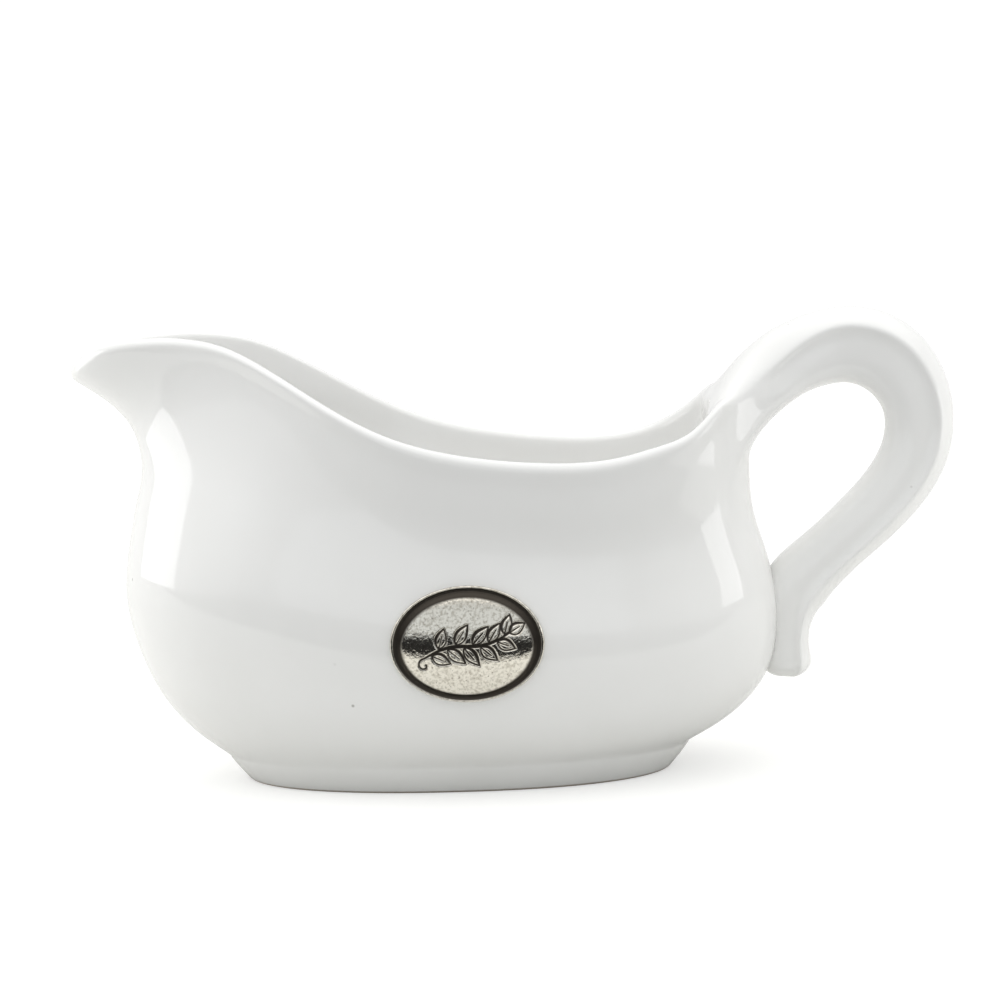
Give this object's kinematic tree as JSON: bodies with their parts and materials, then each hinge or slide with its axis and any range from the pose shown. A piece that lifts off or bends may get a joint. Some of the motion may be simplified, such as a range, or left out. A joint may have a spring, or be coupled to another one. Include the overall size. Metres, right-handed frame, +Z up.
{
  "type": "gravy boat",
  "caption": "White glazed ceramic gravy boat with a high pouring lip, an oval foot ring, a tall loop handle and an oval pewter badge on one side.",
  "frame": {"origin": "on the plane the boat stands on, under the middle of its overall outline", "axes": "+Z up, +X from the pouring lip towards the handle, -Y towards the side that carries the badge"},
  "size_m": [0.2072, 0.0936, 0.1072],
  "materials": {
    "glaze": "gloss",
    "pewter": "satin",
    "adhesive": "matte"
  },
  "bodies": {
    "root": {"vessel": "glaze", "handle": "glaze", "handle_upper_slip": "glaze", "handle_lower_slip": "glaze", "badge": "pewter", "badge_adhesive": "adhesive"}
  },
  "joints": []
}
